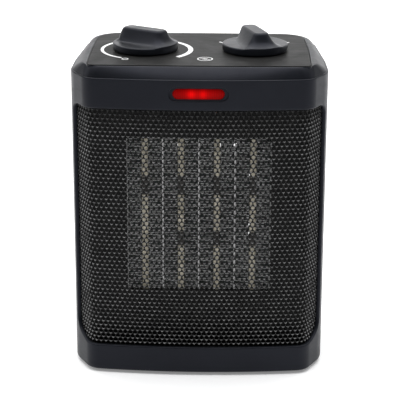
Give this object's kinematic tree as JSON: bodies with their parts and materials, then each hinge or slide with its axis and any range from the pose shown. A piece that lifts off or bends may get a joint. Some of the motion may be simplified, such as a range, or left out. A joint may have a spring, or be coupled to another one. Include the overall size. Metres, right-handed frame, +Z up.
{
  "type": "ceramic space heater",
  "caption": "Upright portable ceramic fan heater with a perforated front grille, two top dials and an indicator lamp.",
  "frame": {"origin": "on the floor, at the middle of the object's footprint, under the four rubber feet", "axes": "+Z up, -Y out of the grille at the front, +Y out of the air intake at the back, +X to the right of someone who faces the grille"},
  "size_m": [0.1804, 0.13, 0.243],
  "materials": {
    "casing_plastic": "fine-textured satin moulded plastic, charcoal black",
    "panel_plastic": null,
    "knob_plastic": "smooth satin moulded plastic, black",
    "grille_metal": "perforated sheet with semi-gloss black paint",
    "lamp_red": "clear red translucent lens",
    "neon_glass": "clear glass bulb",
    "white_plastic": "natural white moulded plastic",
    "duct_plastic": "heat-resistant black moulded plastic",
    "ceramic": null,
    "fin_aluminium": "bare folded aluminium strip",
    "steel": "zinc-plated steel",
    "brass": "plain brass",
    "copper_winding": null,
    "rubber_foot": "soft black rubber"
  },
  "bodies": {
    "housing": {"front_casing": "casing_plastic", "rear_casing": "casing_plastic", "control_panel": "panel_plastic", "front_grille": "grille_metal", "lamp_lens": "lamp_red", "neon_lamp": "neon_glass", "lamp_holder": "white_plastic", "thermostat_body": "white_plastic", "selector_body": "white_plastic", "terminal_block": "white_plastic", "tip_switch_body": "white_plastic", "air_duct": "duct_plastic", "ptc_top_rail": "duct_plastic", "ptc_bottom_rail": "duct_plastic", "ptc_stone_strip_1": "ceramic", "ptc_stone_strip_2": "ceramic", "ptc_stone_strip_3": "ceramic", "ptc_stone_strip_4": "ceramic", "ptc_fin_block_1": "fin_aluminium", "ptc_fin_block_2": "fin_aluminium", "ptc_fin_block_3": "fin_aluminium", "ptc_fin_block_4": "fin_aluminium", "ptc_fin_block_5": "fin_aluminium", "ptc_fin_block_6": "fin_aluminium", "ptc_fin_block_7": "fin_aluminium", "ptc_fin_block_8": "fin_aluminium", "ptc_wall_plate_1": "fin_aluminium", "ptc_wall_plate_2": "fin_aluminium", "ptc_wall_plate_3": "fin_aluminium", "ptc_wall_plate_4": "fin_aluminium", "ptc_wall_plate_5": "fin_aluminium", "motor_stator": "steel", "motor_front_bracket": "steel", "motor_rear_bracket": "steel", "thermal_cutout": "steel", "tip_spring": "steel", "casing_screw_1": "steel", "casing_screw_2": "steel", "casing_screw_3": "steel", "casing_screw_4": "steel", "duct_screw_1": "steel", "duct_screw_2": "steel", "motor_screw_1": "steel", "motor_screw_2": "steel", "thermostat_nut": "brass", "selector_nut": "brass", "thermal_fuse": "brass", "motor_coil": "copper_winding", "foot_1": "rubber_foot", "foot_2": "rubber_foot", "foot_3": "rubber_foot", "foot_4": "rubber_foot"},
    "thermostat_dial": {"thermostat_knob": "knob_plastic", "thermostat_spindle": "steel"},
    "selector_dial": {"selector_knob": "knob_plastic", "selector_spindle": "steel"},
    "fan_rotor": {"fan_impeller": "duct_plastic", "fan_shaft": "steel", "motor_rotor": "fin_aluminium"},
    "tip_plunger": {"tip_plunger": "white_plastic"}
  },
  "joints": [
    {"name": "thermostat_turn", "type": "hinge", "parent": "housing", "child": "thermostat_dial", "pos_m": [-0.039, -0.007, 0.2275], "axis": [0, 0, 1], "range_deg": [-194, 89]},
    {"name": "selector_turn", "type": "hinge", "parent": "housing", "child": "selector_dial", "pos_m": [0.039, -0.007, 0.2275], "axis": [0, 0, 1], "range_deg": [-63, 27]},
    {"name": "fan_spin", "type": "hinge", "parent": "housing", "child": "fan_rotor", "pos_m": [0, 0.03, 0.114], "axis": [0, 1, 0], "continuous": true},
    {"name": "tip_plunger_slide", "type": "slide", "parent": "housing", "child": "tip_plunger", "axis": [0, 0, -1], "range_m": [0, 0.0035], "stiffness_N_per_m": 60, "springref_m": 0.005, "deforming": ["tip_spring"]}
  ]
}
